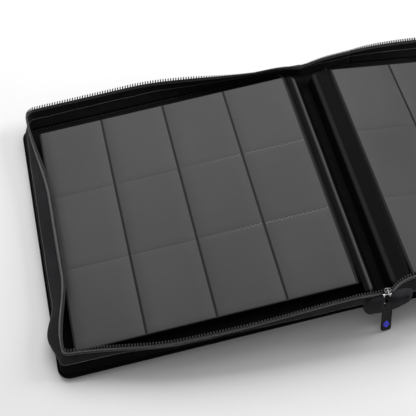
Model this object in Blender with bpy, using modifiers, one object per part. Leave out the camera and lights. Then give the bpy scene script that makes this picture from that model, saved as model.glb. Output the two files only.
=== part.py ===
"""Zip-around trading card binder, lying open on its covers.

Frame: metres, +Z up. X runs along the open spread, with the front cover on -X. Y runs along the
spine, with the zip slider on -Y. The origin is on the floor below the middle of the spine.
The open binder stands as a shallow roof: each cover slopes from the raised spine down to its
fore-edge, which touches the floor.

In a cover's own frame, "out" is the distance from its hinge axis towards the fore-edge, and
"up" is the height above the cover's underside.
"""

import math

import bmesh
import bpy
from mathutils import Euler, Matrix, Vector

# Pocket pages
POCKET_COLUMNS = 4
POCKET_WIDTH = 0.072
POCKET_HEIGHT = 0.096
POCKET_ROWS = 3
PAGES_PER_SIDE = 10
PAGE_PITCH = 0.00105
PAGE_THICKNESS = 0.00075
TOP_CORE_THICKNESS = 0.0004
FILM_THICKNESS = 0.0003
FILM_SLIT = 0.001
PAGE_TOP = 0.015
PAGE_MARGIN = 0.0008
MARGIN_IN = 0.00115
PAGE_CORNER = 0.003
FILM_STEP = 0.00025

# Covers
COVER_LENGTH = 0.331
COVER_REACH = 0.3132
COVER_START = 0.0043
COVER_THICKNESS = 0.0042
COVER_CORNER = 0.013
SKIN = 0.0008
SKIN_RIM = 0.0013
BOARD_THICKNESS = 0.002
LINING_THICKNESS = 0.0008
POCKETS_START = 0.00375

# Hinges and spine
TILT = math.radians(5.65)
HINGE_X = 0.024
HINGE_RISE = 0.0022
SPINE_UNDERSIDE = 0.0275
SPINE_HALF_WIDTH = 0.0197
SPINE_BOARD_THICKNESS = 0.0016
SPINE_LINING_THICKNESS = 0.0006
PAGE_AXIS_LIFT = 0.0004

# Gusset walls and zip
WALL_THICKNESS = 0.0016
WALL_INSET = 0.0016
WALL_BASE = 0.0054
WALL_TOP = 0.0186
TAPE_BASE = 0.0201
TAPE_TOP = 0.0219
TAPE_THICKNESS = 0.0012
CHAIN_HEIGHT = 0.0241
CHAIN_RADIUS = 0.0013
WALL_BULGE = 0.0025
SPLIT_START = 0.034
WALL_RUN_STEPS = 14
WALL_CORNER_STEPS = 4

# Bundles of page margins: (distance from the middle, height) down the bundle's inner face
FRONT_BINDING_STEPS = ((0.0175, 0.0425), (0.0125, None))
FRONT_BINDING_RIDGE = 0.0205
BACK_BINDING_STEPS = ((0.0045, 0.0435), (0.0025, None))
BACK_BINDING_RIDGE = 0.0070
BINDING_OUTER = HINGE_X + 0.0007
BINDING_BELOW_PAGES = 0.0006
BINDING_FOOT_LIFT = 0.0012

# Wings of gusset between a wall's split and the end of the spine, and the lug below them
WING_COLUMNS = 8
WING_INNER = {"front": 0.0105, "back": 0.0006}
WING_FOOT = 0.003
WING_MIDDLE = 0.042
WING_TOP = 0.0485
WING_TOP_LEAN = {"near": 0.004, "far": 0.0125}
WING_LEVEL_SHARE = 0.35
LUG_INNER = 0.0006
LUG_TUCK = 0.008
LUG_FACE = (
    (0.0012, 0.0),
    (0.0036, 0.006),
    (0.0044, 0.016),
    (0.0030, 0.028),
    (0.0007, 0.039),
    (0.0006, 0.0455),
)
LUG_SPAN = {"near": (-0.027, 0.019), "far": (-0.023, 0.023)}
LUG_CHAMFER = 0.0005

# Slider and pull
PULL_X = -0.005
SLIDER_FRONT = -0.1652
SLIDER_BASE = 0.0469
SLIDER_TOP = 0.0534
SLIDER_WIDTH = 0.009
SLIDER_DEPTH = 0.0042
SLIDER_ROUND = 0.0009
BRIDGE_WIDTH = 0.0024
BRIDGE_REACH = 0.0034
BRIDGE_ROOT = 0.0008
BRIDGE_INSET = 0.0005
EYE_HALF_WIDTH = 0.004
EYE_DEPTH = 0.0022
EYE_BASE = 0.0486
EYE_TOP = 0.0518
BAIL_BAR_FORWARD = 0.0011
BAIL_BAR_Z = 0.0502
PULL_SLOPE = math.radians(14)
BAIL_LENGTH = 0.012
BAIL_HALF_WIDTH = 0.0036
BAIL_WIRE = 0.0005
BAIL_CORNER = 0.001
TAB_LENGTH = 0.0385
TAB_WIDTH = 0.0105
TAB_THICKNESS = 0.0024
TAB_SHOULDER = 0.003
TAB_ROUND = 0.0025
NECK_HALF_WIDTH = 0.0028
NECK_HALF_DEPTH = 0.0013
NECK_TOP = 0.0016
NECK_ROOT = 0.0050
NECK_ROUND = 0.0009
NECK_BORE = 0.0008

GAP = 0.0003

# Worked out from the dimensions above
HINGE_Z = COVER_REACH * math.sin(TILT) + HINGE_RISE * math.cos(TILT)
PAGE_LENGTH = POCKET_ROWS * POCKET_HEIGHT
POCKETS_END = POCKETS_START + POCKET_COLUMNS * POCKET_WIDTH
PAGE_START = POCKETS_START - MARGIN_IN
PAGE_END = POCKETS_END + PAGE_MARGIN / 2
PAGE_HALF = PAGE_LENGTH / 2 + PAGE_MARGIN
GUTTER_TOP = HINGE_Z + HINGE_X * math.tan(TILT) + (PAGE_TOP - HINGE_RISE) / math.cos(TILT)
PAGE_AXIS_Z = GUTTER_TOP + PAGE_AXIS_LIFT
SPINE_TOP = SPINE_UNDERSIDE + SKIN + SPINE_BOARD_THICKNESS + SPINE_LINING_THICKNESS + 2 * GAP

# Finishes: base colour, roughness, metallic
FINISHES = {
    "cover_leather": ((0.020, 0.020, 0.022), 0.55, 0.0),
    "gusset_fabric": ((0.016, 0.016, 0.018), 0.85, 0.0),
    "lining_fabric": ((0.022, 0.022, 0.024), 0.80, 0.0),
    "stiff_board": ((0.080, 0.075, 0.070), 0.80, 0.0),
    "page_core": ((0.030, 0.030, 0.033), 0.60, 0.0),
    "pocket_film": ((0.095, 0.095, 0.100), 0.45, 0.0),
    "page_margin": ((0.018, 0.018, 0.020), 0.60, 0.0),
    "zip_tape": ((0.014, 0.014, 0.015), 0.90, 0.0),
    "zip_teeth": ((0.030, 0.030, 0.033), 0.35, 0.0),
    "slider_metal": ((0.560, 0.560, 0.580), 0.28, 1.0),
    "pull_rubber": ((0.025, 0.025, 0.028), 0.70, 0.0),
}


def clear_scene():
    """Removes the objects that the scene starts with."""
    for old in list(bpy.data.objects):
        bpy.data.objects.remove(old, do_unlink=True)


def new_collection(name):
    collection = bpy.data.collections.new(name)
    bpy.context.scene.collection.children.link(collection)
    return collection


def finish(name):
    """The material of this name, made on first use."""
    if name in bpy.data.materials:
        return bpy.data.materials[name]
    colour, roughness, metallic = FINISHES[name]
    made = bpy.data.materials.new(name)
    made.use_nodes = True
    shader = made.node_tree.nodes["Principled BSDF"]
    shader.inputs["Base Color"].default_value = (*colour, 1.0)
    shader.inputs["Roughness"].default_value = roughness
    shader.inputs["Metallic"].default_value = metallic
    made.diffuse_color = (*colour, 1.0)
    return made


def add_piece(name, bm, material, parent=None):
    """Makes an object of the bmesh, in its parent's frame."""
    bmesh.ops.recalc_face_normals(bm, faces=bm.faces)
    mesh = bpy.data.meshes.new(name)
    bm.to_mesh(mesh)
    bm.free()
    piece = bpy.data.objects.new(name, mesh)
    piece.data.materials.append(finish(material))
    piece.parent = parent
    BINDER.objects.link(piece)
    return piece


def add_axis(name, location, turn, parent=None):
    """An empty on a joint's axis, placed and turned in the world, for the pieces that move on it."""
    axis = bpy.data.objects.new(name, None)
    axis.empty_display_size = 0.02
    BINDER.objects.link(axis)
    axis.parent = parent
    bpy.context.view_layer.update()
    axis.matrix_world = Matrix.LocRotScale(location, Euler(turn), None)
    bpy.context.view_layer.update()
    return axis


def box(low, high):
    """A bmesh box between two corners."""
    low, high = Vector(low), Vector(high)
    bm = bmesh.new()
    place = Matrix.Translation((low + high) / 2) @ Matrix.Diagonal((*(high - low), 1.0))
    bmesh.ops.create_cube(bm, size=1.0, matrix=place)
    return bm


def round_edges(bm, radius, segments, wanted):
    """Rounds the edges for which wanted(middle, direction) is true."""
    edges = []
    for edge in bm.edges:
        start, end = (vert.co for vert in edge.verts)
        if wanted((start + end) / 2, (end - start).normalized()):
            edges.append(edge)
    bmesh.ops.bevel(
        bm, geom=edges, offset=radius, offset_type="OFFSET", segments=segments, profile=0.5, affect="EDGES"
    )


def half_plate(side, out, half_length, up, fore_radius=0.0, segments=6):
    """A flat plate of one half in its cover's frame. Its two fore-edge corners are rounded."""
    ends = sorted((side * out[0], side * out[1]))
    bm = box((ends[0], -half_length, up[0] - HINGE_RISE), (ends[1], half_length, up[1] - HINGE_RISE))
    if fore_radius:
        middle = side * (out[0] + out[1]) / 2
        round_edges(
            bm,
            fore_radius,
            segments,
            lambda at, along: abs(along.z) > 0.9 and side * at.x > side * middle,
        )
    return bm


def combine(piece, operation, tool_bm, name):
    """Cuts the shape of the bmesh out of the piece, or joins it on, with a Boolean."""
    tool = add_piece(name, tool_bm, "stiff_board", piece.parent)
    BINDER.objects.unlink(tool)
    CUTTERS.objects.link(tool)
    tool.hide_render = True
    tool.display_type = "WIRE"
    modifier = piece.modifiers.new(name, "BOOLEAN")
    modifier.operation = operation
    modifier.solver = "EXACT"
    modifier.object = tool


def extruded(profile, axis, low, high):
    """A closed outline drawn in the plane across the axis, extruded along it from low to high."""
    bm = bmesh.new()
    corners = [(low, p, q) if axis == "X" else (p, low, q) for p, q in profile]
    verts = [bm.verts.new(corner) for corner in corners]
    face = bm.faces.new(verts)
    grown = bmesh.ops.extrude_face_region(bm, geom=[face])
    moved = [item for item in grown["geom"] if isinstance(item, bmesh.types.BMVert)]
    along = Vector((high - low, 0, 0)) if axis == "X" else Vector((0, high - low, 0))
    bmesh.ops.translate(bm, verts=moved, vec=along)
    return bm


def smooth(x):
    """0 below 0, 1 above 1, and a smooth step between."""
    x = max(0.0, min(1.0, x))
    return x * x * (3 - 2 * x)


# ---------------------------------------------------------------- covers and spine


def make_cover(side, label, axis):
    """Skin with a turned-up rim on three edges, the board inside it, and the lining over the board."""
    half = COVER_LENGTH / 2
    skin = add_piece(
        f"{label}_cover_skin",
        half_plate(side, (COVER_START, COVER_REACH), half, (0.0, COVER_THICKNESS), COVER_CORNER),
        "cover_leather",
        axis,
    )
    tray = half_plate(
        side,
        (COVER_START - 0.01, COVER_REACH - SKIN_RIM),
        half - SKIN_RIM,
        (SKIN, COVER_THICKNESS + 0.01),
        COVER_CORNER - SKIN_RIM,
    )
    combine(skin, "DIFFERENCE", tray, f"{label}_skin_cutter")
    inset = SKIN_RIM + GAP
    board_up = SKIN + GAP
    lining_up = board_up + BOARD_THICKNESS + GAP
    layers = (
        ("board", board_up, BOARD_THICKNESS, "stiff_board"),
        ("lining", lining_up, LINING_THICKNESS, "lining_fabric"),
    )
    for layer, up, thickness, material in layers:
        add_piece(
            f"{label}_cover_{layer}",
            half_plate(
                side,
                (COVER_START, COVER_REACH - inset),
                half - inset,
                (up, up + thickness),
                COVER_CORNER - inset,
            ),
            material,
            axis,
        )


def make_hinge_strip(side, label):
    """The flexible strip of leather that joins a cover's skin to the spine's skin."""
    start = Vector((SPINE_HALF_WIDTH + GAP, SPINE_UNDERSIDE))
    end = Vector(
        (
            HINGE_X + (COVER_START - GAP) * math.cos(TILT) - HINGE_RISE * math.sin(TILT),
            HINGE_Z - (COVER_START - GAP) * math.sin(TILT) - HINGE_RISE * math.cos(TILT),
        )
    )
    lift = Vector((0.0, SKIN))
    outline = [start, end, end + lift, start + lift]
    half = COVER_LENGTH / 2
    bm = extruded([(side * x, z) for x, z in outline], "Y", -half, half)
    add_piece(f"{label}_hinge_strip", bm, "cover_leather")


def make_spine():
    """Skin, stiffener and lining of the spine, which lies level between the hinges."""
    half = COVER_LENGTH / 2
    layers = (
        ("skin", 0.0, SKIN, 0.0, "cover_leather"),
        ("board", SKIN + GAP, SPINE_BOARD_THICKNESS, 0.0015, "stiff_board"),
        (
            "lining",
            SKIN + SPINE_BOARD_THICKNESS + 2 * GAP,
            SPINE_LINING_THICKNESS,
            0.0005,
            "lining_fabric",
        ),
    )
    for layer, up, thickness, inset, material in layers:
        across = SPINE_HALF_WIDTH - inset
        low = (-across, inset - half, SPINE_UNDERSIDE + up)
        high = (across, half - inset, SPINE_UNDERSIDE + up + thickness)
        add_piece(f"spine_{layer}", box(low, high), material)


def make_bindings():
    """The two bundles of page margins, which fall from the pages' level to the spine's lining."""
    foot = SPINE_TOP + GAP
    half = PAGE_LENGTH / 2

    def level(x):
        return GUTTER_TOP - x * math.tan(TILT) - BINDING_BELOW_PAGES

    bundles = (
        ("front", -1, FRONT_BINDING_RIDGE, FRONT_BINDING_STEPS),
        ("back", 1, BACK_BINDING_RIDGE, BACK_BINDING_STEPS),
    )
    for label, side, ridge, steps in bundles:
        # The outer face stands clear of the hinge strip, and the foot on the spine's lining.
        corners = [(BINDING_OUTER, HINGE_Z + BINDING_FOOT_LIFT)]
        corners += [(x, level(x)) for x in (BINDING_OUTER, ridge)]
        corners += [(x, foot if z is None else z) for x, z in steps]
        corners.append((SPINE_HALF_WIDTH, foot))
        bm = extruded([(side * x, z) for x, z in corners], "Y", -half, half)
        add_piece(f"{label}_binding", bm, "page_margin")


# ---------------------------------------------------------------- gusset walls and zip


def lean(kind, out, y):
    """How far the zip leans outwards from the foot of its wall, on the near, fore or far run."""
    if kind == "near":
        return -0.006 - 0.009 * smooth((out - 0.230) / 0.070)
    if kind == "far":
        return -0.009 + 0.021 * smooth(out / 0.185)
    towards_near = smooth((y + 0.150) / 0.060)
    towards_far = smooth((0.140 - y) / 0.045)
    return -0.0095 - 0.007 * min(towards_near, towards_far)


def wall_stations(inset):
    """Points along three edges of a cover, each (out, y, normal out, normal y)."""
    corner = COVER_CORNER - inset
    half = COVER_LENGTH / 2 - inset
    turn_out = COVER_REACH - inset - corner
    turn_y = half - corner
    run = WALL_RUN_STEPS
    stations = []
    for i in range(run):
        out = SPLIT_START + (turn_out - SPLIT_START) * i / run
        stations.append((out, -half, 0.0, -1.0))
    for i in range(WALL_CORNER_STEPS + 1):
        angle = math.radians(90) * (i / WALL_CORNER_STEPS - 1)
        stations.append(
            (
                turn_out + corner * math.cos(angle),
                -turn_y + corner * math.sin(angle),
                math.cos(angle),
                math.sin(angle),
            )
        )
    for i in range(1, run):
        stations.append((COVER_REACH - inset, -turn_y + 2 * turn_y * i / run, 1.0, 0.0))
    near_half = stations[run + WALL_CORNER_STEPS :: -1]
    stations += [(out, -y, normal_out, -normal_y) for out, y, normal_out, normal_y in near_half]
    return stations


def wall_point(side, station, up):
    """A point of the gusset's mid surface in the cover's frame, at a height above the underside."""
    out, y, normal_out, normal_y = station
    share = (up - WALL_BASE) / (CHAIN_HEIGHT - WALL_BASE)
    bulge = WALL_BULGE * 4 * share * (1 - share)
    across = lean("near" if y < 0 else "far", out, y) * share + bulge
    outwards = lean("fore", out, y) * share + bulge
    return Vector((side * (out + outwards * normal_out), y + across * normal_y, up - HINGE_RISE))


def wall_sheet(side, stations, heights):
    """An open strip of wall through the stations, with a row of faces between each two heights."""
    bm = bmesh.new()
    rows = [[bm.verts.new(wall_point(side, s, up)) for s in stations] for up in heights]
    for lower, upper in zip(rows, rows[1:]):
        for i in range(len(stations) - 1):
            bm.faces.new((lower[i], lower[i + 1], upper[i + 1], upper[i]))
    return bm


def thicken(piece, thickness):
    modifier = piece.modifiers.new("thickness", "SOLIDIFY")
    modifier.thickness = thickness
    modifier.offset = 0.0
    modifier.use_even_offset = True


def tube(name, points, radius, material, parent=None, cyclic=False):
    """A round wire or bead through the points, as a curve with a bevel."""
    data = bpy.data.curves.new(name, "CURVE")
    data.dimensions = "3D"
    data.bevel_depth = radius
    data.bevel_resolution = 2
    data.use_fill_caps = not cyclic
    spline = data.splines.new("POLY")
    spline.points.add(len(points) - 1)
    for point, place in zip(spline.points, points):
        point.co = (*place, 1.0)
    spline.use_cyclic_u = cyclic
    data.materials.append(finish(material))
    piece = bpy.data.objects.new(name, data)
    piece.parent = parent
    BINDER.objects.link(piece)
    return piece


def make_gusset(side, label, axis):
    """The fabric wall round three edges of a cover, the zip tape above it and the chain on top."""
    stations = wall_stations(WALL_INSET)
    rows = 3
    heights = [WALL_BASE + (WALL_TOP - WALL_BASE) * i / rows for i in range(rows + 1)]
    wall = add_piece(f"{label}_gusset", wall_sheet(side, stations, heights), "gusset_fabric", axis)
    thicken(wall, WALL_THICKNESS)
    tape = add_piece(
        f"{label}_zip_tape", wall_sheet(side, stations, (TAPE_BASE, TAPE_TOP)), "zip_tape", axis
    )
    thicken(tape, TAPE_THICKNESS)
    crest = [wall_point(side, station, CHAIN_HEIGHT) for station in stations]
    tube(f"{label}_zip_chain", crest, CHAIN_RADIUS, "zip_teeth", axis)


def cover_frame(side):
    """The place of a cover's frame: on its hinge axis, turned down by the cover's slope."""
    return Matrix.Translation((side * HINGE_X, 0, HINGE_Z)) @ Matrix.Rotation(side * TILT, 4, "Y")


def make_wing(side, label, end, end_label):
    """The gusset and zip between a cover's wall and the end of the spine, which dips to the slider."""
    half = COVER_LENGTH / 2 - WALL_INSET
    crest = CHAIN_HEIGHT + CHAIN_RADIUS
    split = (SPLIT_START - GAP, end * half, 0.0, end * 1.0)
    heights = (WALL_BASE, (WALL_BASE + crest) / 2, crest)
    outer = [cover_frame(side) @ wall_point(side, split, up) for up in heights]
    inner_x = side * WING_INNER[label]
    lean_in = WING_TOP_LEAN[end_label]
    inner = (
        (end * half, SPINE_TOP + WING_FOOT),
        (end * (half - lean_in / 8), WING_MIDDLE),
        (end * (half - lean_in), WING_TOP),
    )
    bm = bmesh.new()
    rows = []
    for i in range(WING_COLUMNS + 1):
        share = i / WING_COLUMNS
        dip = smooth((share - WING_LEVEL_SHARE) / (1 - WING_LEVEL_SHARE))
        row = []
        for start, (y, z) in zip(outer, inner):
            x = start.x + (inner_x - start.x) * share
            level_z = start.z + abs(start.x - x) * math.tan(TILT)
            place = (x, start.y + (y - start.y) * share, level_z + (z - level_z) * dip)
            row.append(bm.verts.new(place))
        rows.append(row)
    for this, after in zip(rows, rows[1:]):
        for j in range(len(heights) - 1):
            bm.faces.new((this[j], this[j + 1], after[j + 1], after[j]))
    wing = add_piece(f"{end_label}_{label}_wing", bm, "gusset_fabric")
    thicken(wing, WALL_THICKNESS)


def make_spine_gusset(end, end_label):
    """The unsplit gusset at an end of the spine: a soft lug that stands on the floor and holds it up."""
    edge = COVER_LENGTH / 2 + LUG_INNER
    under_spine = SPINE_UNDERSIDE - 0.0005
    outline = [(edge - LUG_TUCK, 0.0)]
    outline += [(edge + reach, z) for reach, z in LUG_FACE]
    outline += [(edge, LUG_FACE[-1][1]), (edge, under_spine), (edge - LUG_TUCK, under_spine)]
    low, high = LUG_SPAN[end_label]
    bm = extruded([(end * y, z) for y, z in outline], "X", low, high)
    round_edges(
        bm,
        LUG_CHAMFER,
        1,
        lambda at, along: abs(along.x) < 0.5 and min(abs(at.x - low), abs(at.x - high)) < 1e-6,
    )
    add_piece(f"{end_label}_spine_gusset", bm, "gusset_fabric")


# ---------------------------------------------------------------- pages


def make_page(number, side, depth, axis):
    """A pocket page, its depth counted from the top of its stack. Its shape is in its axis' frame."""
    shift = axis.matrix_world.inverted() @ cover_frame(side)
    top = depth == 0
    surface = PAGE_TOP - FILM_THICKNESS - GAP if top else PAGE_TOP - FILM_STEP - PAGE_PITCH * depth
    thickness = TOP_CORE_THICKNESS if top else PAGE_THICKNESS
    core = half_plate(side, (PAGE_START, PAGE_END), PAGE_HALF, (surface - thickness, surface), PAGE_CORNER, 3)
    bmesh.ops.transform(core, matrix=shift, verts=core.verts)
    add_piece(f"page_{number:02d}", core, "page_core", axis)
    if not top:
        return
    for column in range(POCKET_COLUMNS):
        start = POCKETS_START + column * POCKET_WIDTH + FILM_SLIT / 2
        end = start + POCKET_WIDTH - FILM_SLIT
        film = half_plate(side, (start, end), PAGE_LENGTH / 2, (PAGE_TOP - FILM_THICKNESS, PAGE_TOP))
        bmesh.ops.transform(film, matrix=shift, verts=film.verts)
        add_piece(f"page_{number:02d}_pockets_{column + 1}", film, "pocket_film", axis)


def make_pages(side, cover_axis):
    """One stack of pages. Each page's axis is a child of the axis of the page below it."""
    parent = cover_axis
    for level in range(PAGES_PER_SIDE):
        number = level + 1 if side < 0 else 2 * PAGES_PER_SIDE - level
        axis = add_axis(f"page_{number:02d}_axis", (0, 0, PAGE_AXIS_Z), (0, side * TILT, 0), parent)
        make_page(number, side, PAGES_PER_SIDE - 1 - level, axis)
        parent = axis


# ---------------------------------------------------------------- slider and pull


def make_slider():
    """The slider's body with the bridge on its face that holds the bail's bar. Returns the bar's middle."""
    half = SLIDER_WIDTH / 2
    body = box(
        (PULL_X - half, SLIDER_FRONT, SLIDER_BASE), (PULL_X + half, SLIDER_FRONT + SLIDER_DEPTH, SLIDER_TOP)
    )
    round_edges(body, SLIDER_ROUND, 2, lambda at, along: True)
    slider = add_piece("zip_slider", body, "slider_metal")
    bridge = box(
        (PULL_X - BRIDGE_WIDTH / 2, SLIDER_FRONT - BRIDGE_REACH, SLIDER_BASE + BRIDGE_INSET),
        (PULL_X + BRIDGE_WIDTH / 2, SLIDER_FRONT + BRIDGE_ROOT, SLIDER_TOP - BRIDGE_INSET),
    )
    round_edges(bridge, SLIDER_ROUND, 2, lambda at, along: abs(along.x) > 0.9 and at.y < SLIDER_FRONT)
    combine(slider, "UNION", bridge, "slider_bridge")
    eye = box(
        (PULL_X - EYE_HALF_WIDTH, SLIDER_FRONT - EYE_DEPTH, EYE_BASE),
        (PULL_X + EYE_HALF_WIDTH, SLIDER_FRONT, EYE_TOP),
    )
    combine(slider, "DIFFERENCE", eye, "slider_eye")
    return Vector((PULL_X, SLIDER_FRONT - BAIL_BAR_FORWARD, BAIL_BAR_Z))


def bail_loop(down):
    """The points of the bail's rectangular loop, with rounded corners, from its upper bar downwards."""
    corners = [(-1, 0), (1, 0), (1, 1), (-1, 1)]
    middle_share = 1 - math.sqrt(0.5)
    loop = []
    for sign, at_end in corners:
        corner = Vector((sign * BAIL_HALF_WIDTH, 0, 0)) + down * (BAIL_LENGTH * at_end)
        sideways = Vector((-sign * BAIL_CORNER, 0, 0))
        endways = down * (-BAIL_CORNER if at_end else BAIL_CORNER)
        rounded = [corner + sideways, corner + (sideways + endways) * middle_share, corner + endways]
        if (sign < 0) == (at_end == 0):
            rounded.reverse()
        loop += rounded
    return loop


def make_pull(pivot):
    """The wire bail that hangs from the slider, and the rubber tab that hangs from the bail."""
    down = Vector((0, -math.sin(PULL_SLOPE), -math.cos(PULL_SLOPE)))
    bail_axis = add_axis("pull_bail_axis", pivot, (0, 0, 0))
    tube("pull_bail", bail_loop(down), BAIL_WIRE, "slider_metal", bail_axis, cyclic=True)
    tab_axis = add_axis("pull_tab_axis", pivot + down * BAIL_LENGTH, (-PULL_SLOPE, 0, 0), bail_axis)
    plate = box(
        (-TAB_WIDTH / 2, -TAB_THICKNESS / 2, -TAB_LENGTH), (TAB_WIDTH / 2, TAB_THICKNESS / 2, -TAB_SHOULDER)
    )
    round_edges(plate, TAB_ROUND, 4, lambda at, along: abs(along.y) > 0.9)
    tab = add_piece("pull_tab", plate, "pull_rubber", tab_axis)
    neck = box((-NECK_HALF_WIDTH, -NECK_HALF_DEPTH, -NECK_ROOT), (NECK_HALF_WIDTH, NECK_HALF_DEPTH, NECK_TOP))
    round_edges(neck, NECK_ROUND, 2, lambda at, along: abs(along.x) > 0.9 and at.z > 0)
    combine(tab, "UNION", neck, "tab_neck")
    bore = bmesh.new()
    across = Matrix.Rotation(math.radians(90), 4, "Y")
    bmesh.ops.create_cone(
        bore,
        cap_ends=True,
        segments=12,
        radius1=NECK_BORE,
        radius2=NECK_BORE,
        depth=2 * TAB_WIDTH,
        matrix=across,
    )
    combine(tab, "DIFFERENCE", bore, "tab_bore")


clear_scene()
BINDER = new_collection("trading_card_binder")
CUTTERS = new_collection("cutters")

make_spine()
make_bindings()
for half_side, half_label in ((-1, "front"), (1, "back")):
    hinge = add_axis(
        f"{half_label}_hinge_axis", (half_side * HINGE_X, 0, HINGE_Z), (0, half_side * TILT, 0)
    )
    make_cover(half_side, half_label, hinge)
    make_hinge_strip(half_side, half_label)
    make_gusset(half_side, half_label, hinge)
    make_pages(half_side, hinge)
    make_wing(half_side, half_label, -1, "near")
    make_wing(half_side, half_label, 1, "far")
make_spine_gusset(-1, "near")
make_spine_gusset(1, "far")
make_pull(make_slider())
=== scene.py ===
"""Looks of a zip-around trading card binder that lies open on a pale floor.

Metres, +Z up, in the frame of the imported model. In a cover's own frame, "out" is the distance from
its hinge axis towards the fore-edge, and "up" is the height above the cover's underside.
"""
import math
from collections import namedtuple

import bmesh
import bpy
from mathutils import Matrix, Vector, noise


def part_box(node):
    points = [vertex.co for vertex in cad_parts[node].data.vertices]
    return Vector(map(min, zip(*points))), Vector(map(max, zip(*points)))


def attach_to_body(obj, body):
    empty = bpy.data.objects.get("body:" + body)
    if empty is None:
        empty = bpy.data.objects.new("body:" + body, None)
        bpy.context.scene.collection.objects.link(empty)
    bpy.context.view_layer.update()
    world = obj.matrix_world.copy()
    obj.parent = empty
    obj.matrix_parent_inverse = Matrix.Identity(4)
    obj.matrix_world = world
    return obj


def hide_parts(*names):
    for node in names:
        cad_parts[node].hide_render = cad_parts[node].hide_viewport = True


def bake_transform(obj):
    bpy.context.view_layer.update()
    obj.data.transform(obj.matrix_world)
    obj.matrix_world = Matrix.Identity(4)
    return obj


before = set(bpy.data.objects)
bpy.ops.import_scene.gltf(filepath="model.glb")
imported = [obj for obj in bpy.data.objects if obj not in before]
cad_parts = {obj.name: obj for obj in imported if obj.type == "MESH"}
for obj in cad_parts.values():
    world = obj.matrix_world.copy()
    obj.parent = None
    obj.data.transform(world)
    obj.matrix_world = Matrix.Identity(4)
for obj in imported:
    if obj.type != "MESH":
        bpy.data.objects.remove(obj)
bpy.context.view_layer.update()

SIDES = (("front", -1), ("back", 1))
ENDS = (("near", -1), ("far", 1))

# The binder's layout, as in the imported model
HINGE_X = 0.024
HINGE_RISE = 0.0022
TILT = math.radians(5.65)
COVER_LENGTH = 0.331
COVER_REACH = 0.3132
COVER_START = 0.0043
COVER_CORNER = 0.013
COVER_MIDDLE = 0.16
HINGE_Z = COVER_REACH * math.sin(TILT) + HINGE_RISE * math.cos(TILT)
SPINE_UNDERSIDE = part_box("spine_skin")[0][2]
SPINE_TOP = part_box("spine_lining")[1][2]
SPINE_HALF_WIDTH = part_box("spine_skin")[1][0]
PAGE_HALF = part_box("page_10_pockets_1")[1][1]
PAGE_TOP = 0.015
POCKETS_START = 0.00375
POCKET_WIDTH = 0.072
POCKET_HEIGHT = 0.096
POCKET_COLUMNS = 4
POCKET_ROWS = 3
PAGE_PITCH = 0.00105
PAGE_THICKNESS = 0.00075
PAGES_PER_SIDE = 10
POCKET_SLIT = 0.0025
FILM_EDGE = 0.0009
FilmShape = namedtuple("FilmShape", "height dome dot_height")
TOP_FILM = FilmShape(0.00045, 0.00018, 0.00030)
INNER_FILM = FilmShape(0.00011, 0.0, 0.00005)

# Round the cover's edge, from its underside to its turn-in: (inset from the edge, up)
COVER_EDGE_PROFILE = (
    (0.0090, 0.0),
    (0.0062, 0.0),
    (0.0056, 0.0003),
    (0.0050, 0.0),
    (0.0034, 0.0),
    (0.0020, 0.0003),
    (0.0010, 0.0009),
    (0.0003, 0.0018),
    (0.0, 0.0029),
    (0.0004, 0.0038),
    (0.0013, 0.0043),
    (0.0060, 0.00445),
    (0.0068, 0.0044),
    (0.0070, 0.0041),
)
COVER_SEAM_INSET = 0.0056
COVER_SEAM_LEVELS = {"outside": 0.00012, "inside": 0.00444}

# Gusset walls and zip
WALL_INSET = 0.0016
SPLIT_START = 0.034
FOOT_UP = 0.0047
TAPE_TOP_UP = 0.0226
FAR_TOP_UP = 0.0206
TAPE_WIDTH = 0.0032
CREST_CORNERS = {-1: 0.006, 1: 0.011}
CLOTH_THICKNESS = 0.0009
TAPE_THICKNESS = 0.0008
TOOTH_PITCH = 0.0030
SEAM_RADIUS = 0.00055
TOOTH_CORD_RADIUS = 0.0006
SECTION_STEPS = 14
COLUMNS_BELOW_FOLD = SECTION_STEPS // 2
WALL_STATIONS = 260
WING_STATIONS = 36
RIPPLE_HEIGHT = 0.0013
FOOT_OVERLAP = 0.0012
RUN_SWELL = 0.0020
FOOT_CORNER = COVER_CORNER - WALL_INSET
TURN_OUT = COVER_REACH - WALL_INSET - FOOT_CORNER
TURN_Y = COVER_LENGTH / 2 - WALL_INSET - FOOT_CORNER
SIDE_RUN = TURN_OUT - SPLIT_START
CORNER_RUN = FOOT_CORNER * math.pi / 2
WALL_LENGTH = 2 * (SIDE_RUN + CORNER_RUN + TURN_Y)

# Wings of gusset over the ends of the spine: (y, z) of foot, bend and tape top at the inner end
WING_GOALS = {
    -1: ((-0.1639, 0.0340), (-0.1668, 0.0415), (-0.1628, 0.0490)),
    1: ((0.1500, 0.0375), (0.1540, 0.0430), (0.1528, 0.0495)),
}
# x of a wing's inner end, and how late on the way there it moves inwards
WING_REACH = {
    ("near", "front"): (0.0098, 1.6),
    ("near", "back"): (-0.0002, 5.0),
    ("far", "front"): (0.0062, 1.6),
    ("far", "back"): (-0.0060, 1.0),
}
WING_LEVEL_SHARE = 0.35
WING_BEND_X = (0.024, 0.056)
WING_BEND_Z = 0.04

# Lugs of folded gusset at the ends of the spine: lobes are (middle, half width, depth), the span and
# the two bottoms run from left to right, and a higher squareness makes fuller corners
LUG_SHAPES = {
    "near": {
        "lobes": ((-0.0185, 0.0112, 0.0066), (0.0080, 0.0135, 0.0064)),
        "span": (-0.0290, 0.0220),
        "bottoms": (0.022, 0.032),
        "top": 0.0475,
        "slope": 0.0,
        "squareness": 7,
    },
    "far": {
        "lobes": ((-0.0110, 0.0125, 0.0036), (0.0110, 0.0125, 0.0030)),
        "span": (-0.0235, 0.0235),
        "bottoms": (0.019, 0.018),
        "top": 0.0392,
        "slope": 0.25,
        "squareness": 2.6,
    },
}
LUG_OVERLAP = 0.006
LUG_RINGS = 65
LUG_RING_POINTS = 40

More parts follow.
